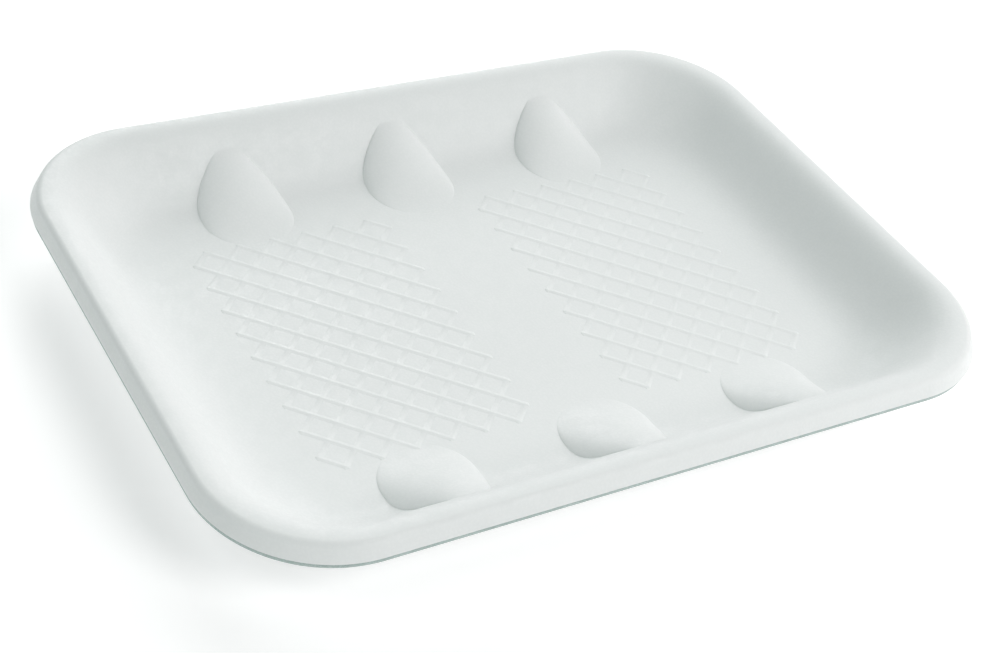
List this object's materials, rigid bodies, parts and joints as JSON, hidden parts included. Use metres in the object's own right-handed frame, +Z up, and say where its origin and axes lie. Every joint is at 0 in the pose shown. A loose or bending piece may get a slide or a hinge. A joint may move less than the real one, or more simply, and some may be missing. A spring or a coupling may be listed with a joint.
{
  "type": "foam food tray",
  "caption": "Shallow oblong foam food tray with rounded corners, a turned-down lip, fluted long walls and a floor with crossing ridges.",
  "frame": {"origin": "middle of the flat underside", "axes": "+X along the tray's length, +Y across it, +Z up out of the open top"},
  "size_m": [0.222, 0.165, 0.02],
  "materials": {
    "tray": "satin skin of expanded polystyrene foam"
  },
  "bodies": {
    "root": {"tray": "tray"}
  },
  "joints": []
}
